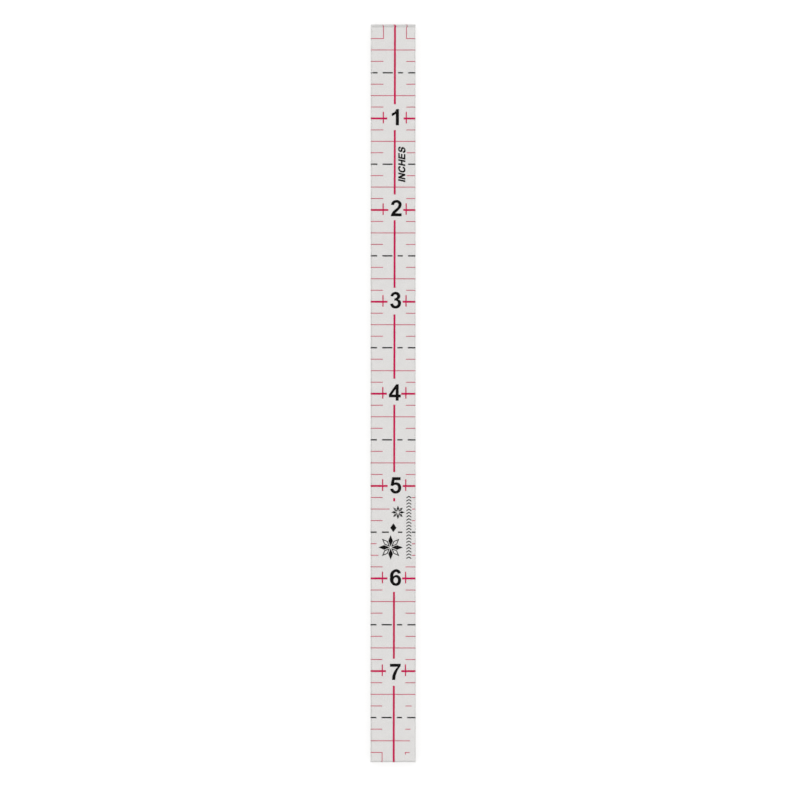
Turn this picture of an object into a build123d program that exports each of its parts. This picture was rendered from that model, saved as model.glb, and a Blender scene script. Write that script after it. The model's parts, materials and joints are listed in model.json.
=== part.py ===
from build123d import *
import math
import os

# Quilting ruler: one clear acrylic blade with a pink and a black ink pass on its
# underside. Each mark of the print is a thin film of ink, face to face with the blade.
# +Y runs along the ruler to its zero end, +X is its right-hand edge as it is read, and
# +Z points up at the reader. The origin is the middle of the footprint, on the surface
# that the ruler lies on. Millimetres and degrees.

inch = 25.4

# Blade
blade_length = 8 * inch
blade_width = 12.35
blade_thickness = 3.0
arris = 0.15  # broken edge, all round

# The print as a whole, and how far off the blade's middle it landed
ink_thickness = 0.03
scale_inches = 8
print_shift_x = 0.35
print_shift_y = -0.5
print_turn = -0.1

# Pink pass
centre_line_width = 0.52
inch_line_width = 0.52
cross_stroke_width = 0.31
cross_stroke_length = inch / 8
cross_stroke_shift = 0.25  # towards the zero end, from the inch line
fine_line_width = 0.18
tick_reach = inch / 8  # from the centre line to the inner end of a tick
corner_square = inch / 8  # from the blade's end to the line of its corner squares

# Black dashes across the half inches
dash_line_width = 0.34
first_dash = -6.2  # where the first dash starts, from the centre line
short_dash = 1.4
long_dash = 2.75
dash_gap = 1.45

# Numerals: the middle of each from its inch mark, and the room that the pink lines leave
# at its left, at its right, towards the zero end and towards the far end
numeral_height = 4.5
numeral_places = {
    "1": (0.14, 0.36),
    "2": (0.42, 0.52),
    "3": (0.31, 0.44),
    "4": (0.15, 0.37),
    "5": (0.42, 0.17),
    "6": (0.40, 0.24),
    "7": (0.40, -0.20),
}
numeral_room = {
    "1": (1.25, 1.30, 1.35, 1.35),
    "2": (0.65, 0.45, 1.55, 1.10),
    "3": (0.75, 0.45, 1.10, 1.65),
    "4": (0.60, 0.15, 1.55, 1.15),
    "5": (0.70, 0.40, 1.40, 1.25),
    "6": (0.70, 0.30, 1.40, 1.65),
    "7": (1.10, 0.20, 1.40, 1.60),
}

# Unit legend beside the centre line, read from the right-hand edge. Middles are from
# the centre line and from the zero mark.
legend = "INCHES"
legend_height = 1.95
legend_middle = (1.95, 1.502 * inch)
legend_slant = 12
legend_weight = 0.04  # that its strokes are grown by, all round
letter_space = 17  # at the height that the glyphs are drawn
legend_room = 0.35

# Patchwork ornament after the 5: a small star, a diamond and a large star, and a
# border of stitches beside them
small_star_radius = 2.1
small_star_middle = (1.05, 5.285 * inch)
large_star_radius = 3.6
large_star_middle = (-0.95, 5.665 * inch)
star_points = 8
star_seam = 0.2  # between the diamonds of a star
star_outline = 0.22  # line round the open diamonds
link_width = 1.7
link_length = 2.4
link_middle = (-0.2, 5.452 * inch)
ornament_room = 0.4
border_middle = 4.05
border_start = 5.1 * inch
border_end = 5.79 * inch
border_width = 1.35
border_stitches = 20
border_stroke = 0.28
border_rise = 0.42
border_room = 0.2
centre_line_break = (5.166 * inch, 6 * inch)

# Ink rubbed away at the far right-hand corner: from the centre line, and from the end
worn_corners = [(5.1, 17.5), (4.9, 15.9), (4.4, 6.1), (4.35, 2.6), (2.7, 2.6)]

# Glyphs on a baseline at Y = 0. The first loop is the body, the others are holes in it.
# A move of two numbers is a corner, one of four is an arc's middle and end.
glyph_height = 100
glyph_loops = {
    "1": [[
        (44, 0), (25, 0), (25, 72), (15, 63, 0, 57), (0, 74), (19, 84, 28, 100),
        (44, 100),
    ]],
    "2": [[
        (67, 0), (0, 0), (7, 20, 28, 43), (42, 56, 48, 71), (35, 84, 21, 69), (2, 71),
        (12, 92, 35, 100), (58, 92, 67, 73), (64, 59, 56, 47), (42, 32, 28, 18),
        (67, 18),
    ]],
    "3": [[
        (0, 26), (18, 29), (32, 14, 47, 31), (42, 43, 24, 45), (27, 61),
        (38, 64, 42, 73), (32, 84, 19, 71), (2, 74), (11, 92, 32, 100),
        (54, 92, 62, 74), (58, 61, 47, 53), (62, 46, 66, 30), (57, 7, 33, -2),
        (10, 5, 0, 26),
    ]],
    "4": [
        [
            (41, 0), (41, 20), (0, 20), (0, 37), (43, 100), (59, 100), (59, 37),
            (72, 37), (72, 20), (59, 20), (59, 0),
        ],
        [(41, 37), (41, 71), (18, 37)],
    ],
    "5": [[
        (0, 26), (19, 28), (33, 14, 47, 33), (43, 47, 32, 51), (24, 50, 18, 44),
        (2, 46), (12, 98), (63, 98), (63, 80), (27, 80), (24, 64), (30, 66, 37, 67),
        (58, 58, 67, 33), (58, 8, 33, -2), (10, 6, 0, 26),
    ]],
    "6": [
        [
            (65, 75), (46, 73), (43, 81, 35, 84), (25, 77, 20, 56), (28, 62, 38, 65),
            (58, 56, 66, 32), (58, 8, 35, -2), (9, 11, 0, 48), (10, 87, 36, 100),
            (55, 94, 65, 75),
        ],
        [
            (47, 32), (44, 46, 34, 51), (25, 46, 21, 33), (25, 19, 35, 14),
            (44, 19, 47, 32),
        ],
    ],
    "7": [[
        (0, 80), (0, 98), (65, 98), (65, 84), (48, 60, 36, 30), (33, 15, 32, 0),
        (13, 0), (22, 45, 48, 80),
    ]],
    "I": [[(0, 0), (20, 0), (20, 100), (0, 100)]],
    "N": [[
        (0, 0), (19, 0), (19, 65), (59, 0), (79, 0), (79, 100), (61, 100), (61, 34),
        (20, 100), (0, 100),
    ]],
    "C": [[
        (67, 37), (87, 31), (72, 6, 46, -2), (13, 12, 0, 49), (13, 88, 47, 102),
        (75, 92, 87, 72), (67, 68), (60, 80, 46, 84), (28, 76, 21, 51),
        (28, 24, 45, 16), (59, 21, 67, 37),
    ]],
    "H": [[
        (0, 0), (20, 0), (20, 42), (59, 42), (59, 0), (79, 0), (79, 100), (59, 100),
        (59, 60), (20, 60), (20, 100), (0, 100),
    ]],
    "E": [[
        (0, 0), (77, 0), (77, 17), (20, 17), (20, 43), (70, 43), (70, 60), (20, 60),
        (20, 83), (74, 83), (74, 100), (0, 100),
    ]],
    "S": [[
        (0, 32), (20, 34), (27, 20, 41, 15), (60, 28, 52, 39), (36, 44),
        (9, 56, 4, 74), (16, 95, 40, 102), (66, 95, 78, 71), (58, 70),
        (52, 82, 40, 85), (23, 76, 44, 62), (66, 55), (79, 44, 81, 29),
        (69, 6, 41, -2), (12, 7, 0, 32),
    ]],
}


def along(distance):
    """Y of a point this far from the zero mark, with the scale centred on the blade."""
    return scale_inches * inch / 2 - distance


def window(left, right, low, high):
    """A rectangle between two places across the ruler and two along it."""
    return Pos((left + right) / 2, (low + high) / 2) * Rectangle(right - left, high - low)


def cross_line(left, right, y, width):
    return window(left, right, y - width / 2, y + width / 2)


def long_line(x, low, high, width):
    return window(x - width / 2, x + width / 2, low, high)


def outline(moves, lean):
    """A closed face from a glyph's loop, with its top leant over to the right."""
    points = [
        [(move[i] + lean * move[i + 1], move[i + 1]) for i in range(0, len(move), 2)]
        for move in moves
    ]
    spans = []
    here = points[0][-1]
    for span in points[1:] + points[:1]:
        if span[-1] != here:
            spans.append(ThreePointArc(here, *span) if len(span) == 2 else Line(here, *span))
        here = span[-1]
    return make_face(spans)


def glyph(name, lean=0.0):
    body, *holes = [outline(loop, lean) for loop in glyph_loops[name]]
    for hole in holes:
        body -= hole
    return body


def centred(sketch):
    box = sketch.bounding_box()
    middle = box.center()
    return Pos(-middle.X, -middle.Y) * sketch


def room_round(sketch, left, right, zero_side, far_side):
    """The rectangle that a mark keeps clear of other lines."""
    box = sketch.bounding_box()
    return window(
        box.min.X - left, box.max.X + right, box.min.Y - far_side, box.max.Y + zero_side
    )


# Black marks that stand alone


def numeral(name):
    across, up = numeral_places[name]
    figure = centred(scale(glyph(name), numeral_height / glyph_height))
    return Pos(across, along(int(name) * inch) + up) * figure


def word_legend():
    """The legend, turned to run along the ruler."""
    lean = math.tan(math.radians(legend_slant))
    word = Sketch()
    start = 0
    for name in legend:
        letter = glyph(name, lean)
        word += Pos(start) * letter
        start += glyph(name).bounding_box().max.X + letter_space
    word = centred(scale(word, (legend_height - 2 * legend_weight) / glyph_height))
    word = Rot(0, 0, 90) * offset(word, legend_weight, kind=Kind.ARC)
    return Pos(legend_middle[0], along(legend_middle[1])) * word


def diamond(length, width):
    return make_face(
        Polyline(
            (0, 0), (length / 2, -width / 2), (length, 0), (length / 2, width / 2),
            close=True,
        )
    )


def star(radius, middle):
    """Patchwork star of diamonds that are solid and open in turn."""
    turn = 360 / star_points
    width = radius * math.tan(math.radians(turn / 2))
    patch = offset(diamond(radius, width), -star_seam / 2, kind=Kind.INTERSECTION)
    opening = offset(patch, -star_outline, kind=Kind.INTERSECTION)
    patches = [patch, patch - opening]
    whole = Sketch()
    for i in range(star_points):
        whole += Rot(0, 0, i * turn) * patches[i % 2]
    return Pos(middle[0], along(middle[1])) * whole


def link_diamond():
    across, distance = link_middle
    return Pos(across, along(distance) - link_length / 2) * (
        Rot(0, 0, 90) * diamond(link_length, link_width)
    )


def stitch_border():
    """Rows of V stitches, one after another along the ruler."""
    pitch = (border_end - border_start) / border_stitches
    side = border_width / 2
    stitch = make_face(
        Polyline(
            (-side, 0), (0, border_rise), (side, 0), (side, border_stroke),
            (0, border_rise + border_stroke), (-side, border_stroke), close=True,
        )
    )
    border = Sketch()
    for i in range(border_stitches):
        border += Pos(border_middle, along(border_end) + i * pitch) * stitch
    return border


numerals = {name: numeral(name) for name in numeral_places}
legend_mark = word_legend()
small_star = star(small_star_radius, small_star_middle)
large_star = star(large_star_radius, large_star_middle)
link = link_diamond()
border = stitch_border()

# Room that the lines of both passes leave round those marks

mark_windows = [
    room_round(legend_mark, *[legend_room] * 4),
    room_round(link, *[ornament_room] * 4),
    room_round(border, *[border_room] * 4),
]
for radius, middle in (
    (small_star_radius, small_star_middle),
    (large_star_radius, large_star_middle),
):
    mark_windows.append(Pos(middle[0], along(middle[1])) * Circle(radius + ornament_room))

pink_windows = mark_windows + [
    room_round(numerals[name], *numeral_room[name]) for name in numerals
]
pink_windows.append(
    window(
        -centre_line_width, centre_line_width,
        along(centre_line_break[1]), along(centre_line_break[0]),
    )
)
pink_windows.append(
    window(0, border_middle, along(border_end), along(centre_line_break[0]))
)

far_end = -blade_length / 2
worn_points = [(x, far_end + distance) for x, distance in worn_corners]
worn_patch = make_face(
    Polyline(
        *worn_points,
        (worn_points[-1][0], far_end - corner_square),
        (blade_width, far_end - corner_square),
        (blade_width, worn_points[0][1]),
        close=True,
    )
)


def without(sketch, windows):
    for opening in windows:
        sketch -= opening
    return sketch


# Lines of the pink pass. They run off the blade and are cut with it.

pink_line = without(
    long_line(0, -blade_length, blade_length, centre_line_width), pink_windows
)


def cross_lines(distances, width, left=-blade_width, right=blade_width):
    lines = Sketch()
    for distance in distances:
        lines += cross_line(left, right, along(distance), width)
    return lines


def clear_of_squares(distance):
    """True for a mark that isn't in the corner squares' stretch of the blade."""
    return abs(along(distance)) < blade_length / 2 - 1.5 * corner_square


eighths = [i * inch / 8 for i in range(1, 8 * scale_inches)]
inches = eighths[7::8]
halves = eighths[3::8]
quarters = [d for d in eighths[1::4] if clear_of_squares(d)]
odd_eighths = [d for d in eighths[0::2] if clear_of_squares(d)]

inch_lines = cross_lines(inches, inch_line_width)
cross_strokes = Sketch()
for distance in inches:
    middle = along(distance) + cross_stroke_shift
    for x in (-tick_reach, tick_reach):
        cross_strokes += long_line(
            x,
            middle - cross_stroke_length / 2,
            middle + cross_stroke_length / 2,
            cross_stroke_width,
        )
cross_strokes -= inch_lines

quarter_lines = cross_lines(quarters, fine_line_width) - pink_line
left_ticks = cross_lines(odd_eighths, fine_line_width, right=-tick_reach)
right_ticks = cross_lines(odd_eighths, fine_line_width, left=tick_reach)


def corner_squares(end):
    """The two squares that one end of the blade closes, drawn as two lines each."""
    inner = end * (blade_length / 2 - corner_square)
    half = fine_line_width / 2
    squares = Sketch()
    for side in (-1, 1):
        whole = window(
            *sorted((side * (tick_reach - half), side * blade_width)),
            *sorted((inner - end * half, end * blade_length)),
        )
        opening = window(
            *sorted((side * (tick_reach + half), side * 2 * blade_width)),
            *sorted((inner + end * half, end * 2 * blade_length)),
        )
        squares += whole - opening
    return squares


# Black dashes


def dashes(distance):
    """A short and a long dash in turn, from the first one to the right-hand edge."""
    line = Sketch()
    start = first_dash
    lengths = [short_dash, long_dash]
    while start < blade_width:
        line += cross_line(start, start + lengths[0], along(distance), dash_line_width)
        start += lengths[0] + dash_gap
        lengths.reverse()
    return line


half_inch_dashes = Sketch()
for distance in halves:
    half_inch_dashes += dashes(distance)

# Films

print_area = Rectangle(blade_width - 2 * arris, blade_length - 2 * arris)
print_place = Location((print_shift_x, print_shift_y, 0), (0, 0, print_turn))


def film(sketch):
    """Solids of ink where this part of the print lies on the blade."""
    printed = print_area & (print_place * sketch)
    return [extrude(face, ink_thickness, dir=(0, 0, 1)) for face in printed.faces()]


def pink(sketch):
    return film(without(sketch, pink_windows + [worn_patch]))


def blade():
    slab = Box(blade_width, blade_length, blade_thickness)
    slab = chamfer(slab.edges(), arris)
    return Pos(0, 0, ink_thickness + blade_thickness / 2) * slab


nodes = {
    "acrylic_blade": blade().solids(),
    "centre_line": pink(pink_line),
    "inch_lines": pink(inch_lines),
    "inch_cross_strokes": pink(cross_strokes),
    "quarter_inch_lines": pink(quarter_lines),
    "left_eighth_ticks": pink(left_ticks),
    "right_eighth_ticks": pink(right_ticks),
    "zero_end_corner_squares": pink(corner_squares(1)),
    "far_end_corner_squares": pink(corner_squares(-1)),
    "half_inch_dashes": film(without(half_inch_dashes, mark_windows)),
    "unit_legend": film(legend_mark),
    "small_star": film(small_star),
    "link_diamond": film(link),
    "large_star": film(large_star),
    "stitch_border": film(border),
}
for name, sketch in numerals.items():
    nodes[f"numeral_{name}"] = film(sketch)

os.makedirs("parts", exist_ok=True)
for name, solids in nodes.items():
    shape = Compound(children=solids) if len(solids) > 1 else solids[0]
    export_step(shape, f"parts/{name}.step")
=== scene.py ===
import json
import math

import bmesh
import bpy
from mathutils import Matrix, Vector


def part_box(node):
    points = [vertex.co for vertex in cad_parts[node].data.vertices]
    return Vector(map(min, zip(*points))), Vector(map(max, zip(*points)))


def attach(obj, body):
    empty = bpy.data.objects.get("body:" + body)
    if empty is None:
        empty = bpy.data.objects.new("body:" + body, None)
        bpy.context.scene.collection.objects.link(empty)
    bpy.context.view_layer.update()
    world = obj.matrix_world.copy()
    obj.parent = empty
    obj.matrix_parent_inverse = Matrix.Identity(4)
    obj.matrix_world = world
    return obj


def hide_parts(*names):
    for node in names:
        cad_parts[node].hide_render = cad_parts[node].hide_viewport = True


# A narrow quilting ruler: a laser-cut blade of clear acrylic that carries its inch scale in
# pink and black ink on the underside. +Y runs to the zero end and +Z points up at the reader.

MM = 0.001

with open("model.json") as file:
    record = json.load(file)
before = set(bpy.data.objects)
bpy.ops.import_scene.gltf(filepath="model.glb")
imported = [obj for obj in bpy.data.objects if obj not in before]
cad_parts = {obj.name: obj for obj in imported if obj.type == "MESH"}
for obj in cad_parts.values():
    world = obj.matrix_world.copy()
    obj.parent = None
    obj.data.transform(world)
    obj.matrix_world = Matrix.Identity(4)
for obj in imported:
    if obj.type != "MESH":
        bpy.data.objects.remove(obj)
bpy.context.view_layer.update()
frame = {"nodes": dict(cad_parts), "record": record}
nodes = frame["nodes"]


# Shader maths


class Value:
    """A socket that Python sums work on. Each sum adds its Math node."""

    def __init__(self, finish, socket):
        self.finish = finish
        self.socket = socket

    def math(self, operation, other):
        made = self.finish.node("ShaderNodeMath", {"operation": operation}, {0: self, 1: other})
        return made["Value"]

    def __add__(self, other):
        return self.math("ADD", other)

    def __mul__(self, other):
        return self.math("MULTIPLY", other)

    __radd__ = __add__
    __rmul__ = __mul__


class Outputs:
    """The outputs of a node, by name or number, as values."""

    def __init__(self, finish, node):
        self.finish = finish
        self.node = node

    def __getitem__(self, name):
        return Value(self.finish, self.node.outputs[name])


class Nodes:
    """The nodes of a material or a world, and the means to add to them."""

    def __init__(self, owner):
        owner.use_nodes = True
        self.tree = owner.node_tree
        self.tree.nodes.clear()

    def node(self, kind, settings=None, sockets=None):
        """Adds a node. Its settings come first, then what its sockets hold or read."""
        made = self.tree.nodes.new(kind)
        for name, value in (settings or {}).items():
            if name == "stops":
                set_stops(made.color_ramp, value)
            else:
                setattr(made, name, value)
        for name, value in (sockets or {}).items():
            if isinstance(value, Value):
                self.tree.links.new(value.socket, made.inputs[name])
            else:
                made.inputs[name].default_value = value
        return Outputs(self, made)


def set_stops(ramp, stops):
    for element, (place, colour) in zip(ramp.elements, (stops[0], stops[-1])):
        element.position = place
        element.color = colour
    for place, colour in stops[1:-1]:
        ramp.elements.new(place).color = colour


class Finish(Nodes):
    """A material, with the patterns that a maker's finish is mixed from."""

    # A Mix node has a set of sockets of the same names for each kind of data, so the ones
    # for colours go by number.
    mix_factor = 0
    mix_first = 6
    mix_second = 7
    mix_colour = 2

    def __init__(self, name):
        self.material = bpy.data.materials.new(name)
        super().__init__(self.material)
        place = self.node("ShaderNodeTexCoord")["Object"]
        self.place = self.node(
            "ShaderNodeVectorMath", {"operation": "SCALE"}, {"Vector": place, "Scale": 1 / MM}
        )["Vector"]

    def noise(self, scale, detail=2, roughness=0.5, place=None):
        """Noise from 0 to 1, with the scale in cycles per millimetre."""
        return self.node(
            "ShaderNodeTexNoise",
            {"noise_dimensions": "3D"},
            {
                "Vector": place or self.place,
                "Scale": scale,
                "Detail": detail,
                "Roughness": roughness,
            },
        )["Fac"]

    def stretched(self, x, y, z):
        """The place on the ruler in millimetres, times these."""
        return self.node(
            "ShaderNodeVectorMath", {"operation": "MULTIPLY"}, {0: self.place, 1: (x, y, z)}
        )["Vector"]

    def moved(self, x, y, z):
        """The place on the ruler in millimetres, plus these."""
        return self.node(
            "ShaderNodeVectorMath", {"operation": "ADD"}, {0: self.place, 1: (x, y, z)}
        )["Vector"]

    def between(self, value, low, high):
        """0 below low, 1 above high, and smooth from one to the other."""
        return self.node(
            "ShaderNodeMapRange",
            {"interpolation_type": "SMOOTHSTEP"},
            {"Value": value, "From Min": low, "From Max": high},
        )["Result"]

    def mixed(self, factor, first, second):
        """From the first colour to the second one."""
        return self.node(
            "ShaderNodeMix",
            {"data_type": "RGBA"},
            {self.mix_factor: factor, self.mix_first: first, self.mix_second: second},
        )[self.mix_colour]

    def bumped(self, height, distance):
        """A normal that this height disturbs, with the distance in millimetres."""
        return self.node(
            "ShaderNodeBump", {}, {"Height": height, "Distance": distance * MM, "Strength": 1.0}
        )["Normal"]

    def surface(self, shader):
        self.node("ShaderNodeOutputMaterial", {}, {"Surface": shader})
        return self.material


def grey(level):
    return (level, level, level, 1.0)


# Finishes

acrylic_ior = 1.49
most_turns = 3  # that a ray takes inside the blade before it goes straight on
straight_tint = (0.865, 0.86, 0.853, 1)  # of the light that goes straight through
clear_tints = ((0.955, 0.952, 0.953, 1), (0.985, 0.982, 0.983, 1))
# painted shade: the darker greys of the cut edges stand in for shade and dark reflections along
# the walls
cut_painted_shade_tints = (grey(0.53), grey(0.71))
pinhole_colour = grey(0.62)
screen_angles = (22, 112)  # of the threads of the screen, in degrees
ink_shine = 0.04


def clear_acrylic():
    """Cast acrylic, with faint ripples in its faces and hairline scuffs from handling."""
    finish = Finish("clear_acrylic")
    ripple = finish.noise(0.11, detail=1)
    along = finish.noise(1.0, detail=3, roughness=0.6, place=finish.stretched(0.35, 9.0, 1))
    across = finish.noise(1.0, detail=3, roughness=0.6, place=finish.stretched(7.0, 0.5, 1))
    scuffs = finish.between(along, 0.66, 0.78) + finish.between(across, 0.68, 0.8)
    handled = finish.between(finish.noise(0.06, detail=2), 0.35, 0.7)
    cloud = finish.between(finish.noise(0.35, detail=3), 0.3, 0.7)
    return see_through(
        finish,
        colour=finish.mixed(cloud, *clear_tints),
        roughness=0.012 + handled * 0.01 + scuffs * 0.03,
        normal=finish.bumped(ripple + scuffs * 0.004, 0.02),
    )


def cut_acrylic_painted_shade():
    """The laser-cut edges: satin between glossy streaks, their colour a darker grey of painted
    shade.
    """
    finish = Finish("cut_acrylic_painted_shade")
    streak = finish.noise(1.0, detail=2, place=finish.stretched(3.4, 3.4, 0.25))
    fleck = finish.between(finish.noise(2.2, detail=2), 0.55, 0.75)
    return see_through(
        finish,
        # painted shade: the cut edges' darker grey, varied along the streaks and flecks
        colour=finish.mixed(streak * 0.7 + fleck * 0.3, *cut_painted_shade_tints),
        roughness=0.03 + finish.between(streak, 0.35, 0.7) * 0.09 + fleck * 0.06,
        normal=finish.bumped(streak + fleck * 0.3, 0.006),
    )


def see_through(finish, colour, roughness, normal):
    """Acrylic that lets light straight through to the ink and to what it lies on."""
    glass = finish.node(
        "ShaderNodeBsdfPrincipled",
        {},
        {
            "Base Color": colour,
            "Roughness": roughness,
            "IOR": acrylic_ior,
            "Transmission Weight": 1.0,
            "Normal": normal,
        },
    )["BSDF"]
    path = finish.node("ShaderNodeLightPath")
    lighting = path["Is Shadow Ray"].math("MAXIMUM", path["Is Diffuse Ray"])
    passing = lighting.math("MAXIMUM", path["Ray Depth"].math("GREATER_THAN", most_turns))
    straight = finish.node("ShaderNodeBsdfTransparent", {}, {"Color": straight_tint})["BSDF"]
    return finish.surface(
        finish.node("ShaderNodeMixShader", {}, {0: passing, 1: glass, 2: straight})["Shader"]
    )


def ink(name, deep, full, gloss, seed):
    """Screen-printed ink: mottled, grained by the mesh of the screen, with fine pinholes."""
    finish = Finish(name)
    place = finish.moved(seed, 2 * seed, 0)
    flow = finish.between(finish.noise(0.09, detail=2, place=place), 0.3, 0.7)
    grain = finish.between(finish.noise(4.5, detail=3, place=place), 0.3, 0.75)
    pinholes = finish.between(finish.noise(9.0, detail=1, place=place), 0.74, 0.8)
    threads = []
    for angle in screen_angles:
        turned = finish.node(
            "ShaderNodeVectorRotate",
            {"rotation_type": "Z_AXIS"},
            {"Vector": place, "Angle": math.radians(angle)},
        )["Vector"]
        threads.append(finish.node(
            "ShaderNodeTexWave",
            {"wave_type": "BANDS", "bands_direction": "X"},
            {"Vector": turned, "Scale": 1.1},
        )["Fac"])
    screen = threads[0] * threads[1]
    cover = flow * 0.35 + grain * 0.55 + screen * 0.1
    shader = finish.node(
        "ShaderNodeBsdfPrincipled",
        {},
        {
            "Base Color": finish.mixed(
                pinholes * 0.6, finish.mixed(cover, deep, full), pinhole_colour
            ),
            "Roughness": gloss + grain * 0.12,
            "Specular IOR Level": ink_shine,
            "Normal": finish.bumped(grain + screen * 0.5, 0.004),
        },
    )["BSDF"]
    return finish.surface(shader)


acrylic_finishes = [clear_acrylic(), cut_acrylic_painted_shade()]
ink_finishes = {
    "pink_ink": ink(
        "pink_ink",
        deep=(0.49, 0.003, 0.066, 1),
        full=(0.66, 0.010, 0.110, 1),
        gloss=0.42,
        seed=3.0,
    ),
    "black_ink": ink(
        "black_ink",
        deep=(0.002, 0.002, 0.002, 1),
        full=(0.006, 0.005, 0.005, 1),
        gloss=0.45,
        seed=11.0,
    ),
}
for subpart in frame["record"]["subparts"]:
    if subpart["material_slot"] in ink_finishes:
        mesh = nodes[subpart["node"]].data
        mesh.materials.clear()
        mesh.materials.append(ink_finishes[subpart["material_slot"]])


# Blade

ink_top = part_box("centre_line")[1].z
blade_low, blade_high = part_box("acrylic_blade")
bond = 0.005 * MM  # how far the ink is pressed into the blade
face_edge_radius = 0.17 * MM
face_edge_steps = 4
under_edge_radius = 0.12 * MM
under_edge_steps = 3
left_round = 0.38 * MM  # how far the rounding of each edge reaches over the face
right_round = 0.26 * MM
zero_end_round = 0.85 * MM
far_end_round = 0.4 * MM
spread_end = 1.2 * MM  # how far in from a wall the spreading of its rounding ends
sharp_angle = math.radians(40)
level_normal = 0.999  # the least upright part of a level face's normal
wall_rows = (0.2, 0.4, 0.6, 0.8)  # up the walls, as shares of the thickness

# What the laser's pulses leave in the long walls
striation_pitch = 0.3 * MM
striation_depth = 0.004 * MM
striation_parts = 4  # that the mesh divides each pulse into
striation_lean = 0.35
striation_lag = 0.5
slow_beats = (0.137, 0.041)  # slower waves over the pulses, as shares of their rate


def striation(place):
    """How deep the pulses cut at this place, from 0 to 1 of the depth."""
    along = place.y / striation_pitch + striation_lean * place.x / striation_pitch
    lag = striation_lag * (blade_high.z - place.z) / (blade_high.z - blade_low.z)
    wave = math.sin(2 * math.pi * (along + lag * lag))
    first, second = slow_beats
    slow = math.sin(2 * math.pi * (along * first + 0.3)) * math.sin(2 * math.pi * along * second)
    return 0.5 + 0.3 * wave + 0.2 * slow


def spread(inset, reach):
    """Where a point this far in from a wall goes, so that the rounding reaches this far."""
    if inset < face_edge_radius:
        return inset * reach / face_edge_radius
    if inset < spread_end:
        share = (inset - face_edge_radius) / (spread_end - face_edge_radius)
        return reach + share * (spread_end - reach)
    return inset


def round_edges(bm, z, radius, steps):
    """Rounds the edges that lie at this height."""
    edges = [e for e in bm.edges if all(abs(v.co.z - z) < 0.5 * bond for v in e.verts)]
    bmesh.ops.bevel(
        bm, geom=edges, offset=radius, offset_type="OFFSET", segments=steps, profile=0.5,
        affect="EDGES", material=-1, clamp_overlap=True,
    )


def spread_roundings(bm, size):
    """Spreads the roundings of the top face, each as far as its own edge needs."""
    middle = (blade_low + blade_high) / 2
    for vert in bm.verts:
        if vert.co.z < blade_high.z - face_edge_radius:
            continue
        reach = (
            right_round if vert.co.x > middle.x else left_round,
            zero_end_round if vert.co.y > middle.y else far_end_round,
        )
        for axis in (0, 1):
            inset = size[axis] / 2 - abs(vert.co[axis] - middle[axis])
            moved = spread(inset, reach[axis]) - inset
            vert.co[axis] -= math.copysign(moved, vert.co[axis] - middle[axis])


def is_long(edge):
    first, second = (vert.co for vert in edge.verts)
    return abs(first.y - second.y) > 0.9 * (blade_high.y - blade_low.y)


def divide_walls(bm, low, size):
    """Gives the long walls a vertex for each part of a pulse, and rows up them."""
    cuts = int(size.y / striation_pitch * striation_parts)
    bmesh.ops.subdivide_edges(bm, edges=[e for e in bm.edges if is_long(e)], cuts=cuts)
    for rise in wall_rows:
        bmesh.ops.bisect_plane(
            bm, geom=bm.verts[:] + bm.edges[:] + bm.faces[:],
            plane_co=(0, 0, low.z + rise * size.z), plane_no=(0, 0, 1),
        )


def cut_walls(bm, low, size):
    """Presses the striations into the walls, between their roundings."""
    wall_low = low.z + under_edge_radius
    wall_high = blade_high.z - face_edge_radius
    for vert in bm.verts:
        if not wall_low - bond < vert.co.z < wall_high + bond:
            continue
        walls = (
            (size.x / 2 - abs(vert.co.x), Vector((math.copysign(1, vert.co.x), 0, 0))),
            (size.y / 2 - abs(vert.co.y), Vector((0, math.copysign(1, vert.co.y), 0))),
        )
        inset, outward = min(walls, key=lambda wall: wall[0])
        if inset < bond:
            vert.co -= outward * striation_depth * striation(vert.co)


def blade():
    """The clear blade, with its own finish on the faces and another on the cut edges."""
    low = Vector((blade_low.x, blade_low.y, ink_top - bond))
    size = blade_high - low
    bm = bmesh.new()
    bmesh.ops.create_cube(bm, size=1)
    bmesh.ops.scale(bm, vec=size, verts=bm.verts)
    bmesh.ops.translate(bm, vec=(low + blade_high) / 2, verts=bm.verts)
    round_edges(bm, blade_high.z, face_edge_radius, face_edge_steps)
    round_edges(bm, low.z, under_edge_radius, under_edge_steps)
    spread_roundings(bm, size)
    divide_walls(bm, low, size)
    cut_walls(bm, low, size)
    bmesh.ops.recalc_face_normals(bm, faces=bm.faces)
    for face in bm.faces:
        face.smooth = abs(face.normal.z) < level_normal
        face.material_index = int(face.smooth)
    for edge in bm.edges:
        edge.smooth = edge.calc_face_angle() < sharp_angle
    piece = made_piece("clear_blade", bm, acrylic_finishes)
    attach(piece, "root")
    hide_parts("acrylic_blade")


def made_piece(name, bm, finishes):
    mesh = bpy.data.meshes.new(name)
    bm.to_mesh(mesh)
    bm.free()
    for finish in finishes:
        mesh.materials.append(finish)
    piece = bpy.data.objects.new(name, mesh)
    bpy.context.scene.collection.objects.link(piece)
    return piece


blade()


# Studio

floor_radius = 3.0
floor_drop = 0.02 * MM  # so that the ink doesn't share a plane with it
sky_strength = 1.28
sky_levels = [  # how high in the sky, and how bright it is there
    (0.0, 0.25), (0.3, 0.4), (0.62, 1.15), (0.90, 1.15), (0.95, 0.05), (1.0, 0.03),
]
lamps = [  # name, place, size and power
    ("key_light", (-0.9, 0.5, 1.1), 0.6, 3),
    ("fill_light", (1.0, -0.5, 0.9), 0.8, 2),
]


def white_paper():
    finish = Finish("white_paper")
    fibre = finish.noise(0.4, detail=3)
    shader = finish.node(
        "ShaderNodeBsdfPrincipled",
        {},
        {
            "Base Color": finish.mixed(fibre, grey(0.90), grey(0.91)),
            "Roughness": 0.9,
            "Specular IOR Level": 0.2,
        },
    )["BSDF"]
    return finish.surface(shader)


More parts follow.
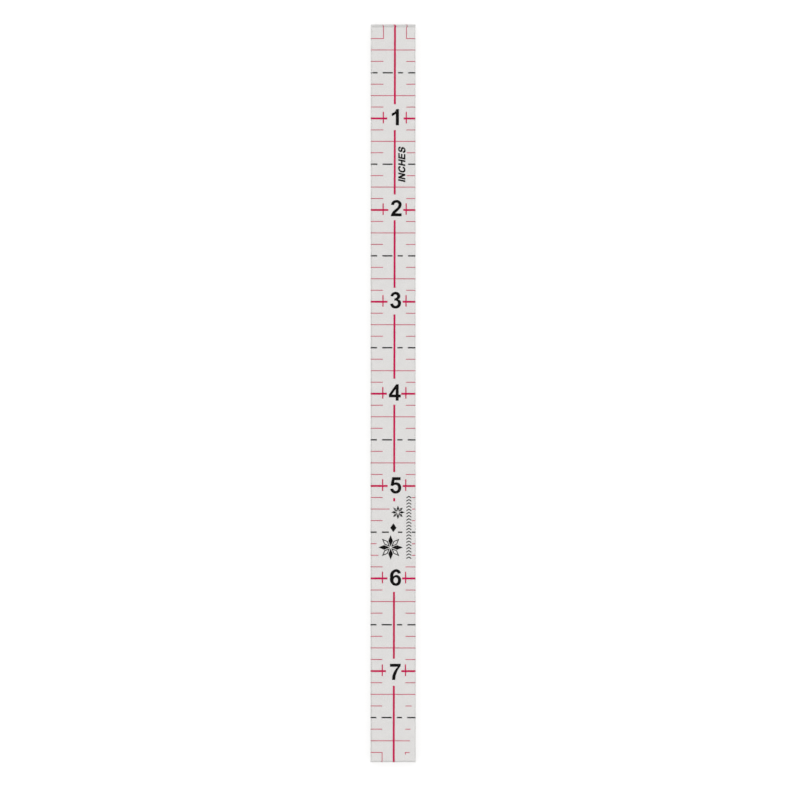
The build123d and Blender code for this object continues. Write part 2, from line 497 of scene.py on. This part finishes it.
def floor():
    """A pale sheet under the ruler."""
    bm = bmesh.new()
    bmesh.ops.create_circle(bm, cap_ends=True, segments=64, radius=floor_radius)
    bmesh.ops.translate(bm, vec=(0, 0, -floor_drop), verts=bm.verts)
    sheet = made_piece("floor", bm, [white_paper()])


def studio_sky():
    """Soft light, darker low down, where clear edges need it, and behind the camera."""
    bpy.context.scene.world = bpy.data.worlds.new("studio")
    sky = Nodes(bpy.context.scene.world)
    way = sky.node("ShaderNodeTexCoord")["Generated"]
    height = sky.node("ShaderNodeSeparateXYZ", {}, {0: way})["Z"]
    stops = [(place, grey(level)) for place, level in sky_levels]
    light = sky.node("ShaderNodeValToRGB", {"stops": stops}, {"Fac": height})["Color"]
    shown = sky.node("ShaderNodeBackground", {}, {"Color": light, "Strength": sky_strength})
    sky.node("ShaderNodeOutputWorld", {}, {"Surface": shown["Background"]})


def aimed(name, data, place, back):
    """A lamp or a camera at this place, with its back this way."""
    holder = bpy.data.objects.new(name, data)
    bpy.context.scene.collection.objects.link(holder)
    holder.location = place
    holder.rotation_mode = "QUATERNION"
    holder.rotation_quaternion = (-back).to_track_quat("-Z", "Y")
    return holder


def soft_light(name, place, size, power):
    lamp = bpy.data.lights.new(name, "AREA")
    lamp.shape = "DISK"
    lamp.size = size
    lamp.energy = power
    aimed(name, lamp, place, Vector(place))


floor()
studio_sky()
for lamp in lamps:
    soft_light(*lamp)


# Camera: nearly straight above, with a little lean towards the far end

tilt = math.radians(4.0)
stand_off = 1.4
sensor_width = 36
lens = 232.8
nearest = 0.01
farthest = 20
print_depth = (blade_high.z - ink_top) / acrylic_ior  # as it seems from above
aim = Vector((0.12 * MM, -0.43 * MM, blade_high.z - print_depth))

back = Vector((0, -math.sin(tilt), math.cos(tilt)))
camera_data = bpy.data.cameras.new("camera")
camera_data.sensor_width = sensor_width
camera_data.lens = lens
camera_data.clip_start = nearest
camera_data.clip_end = farthest
bpy.context.scene.camera = aimed("camera", camera_data, aim + back * stand_off, back)

view = bpy.context.scene.view_settings
view.view_transform = "Standard"
view.look = "None"
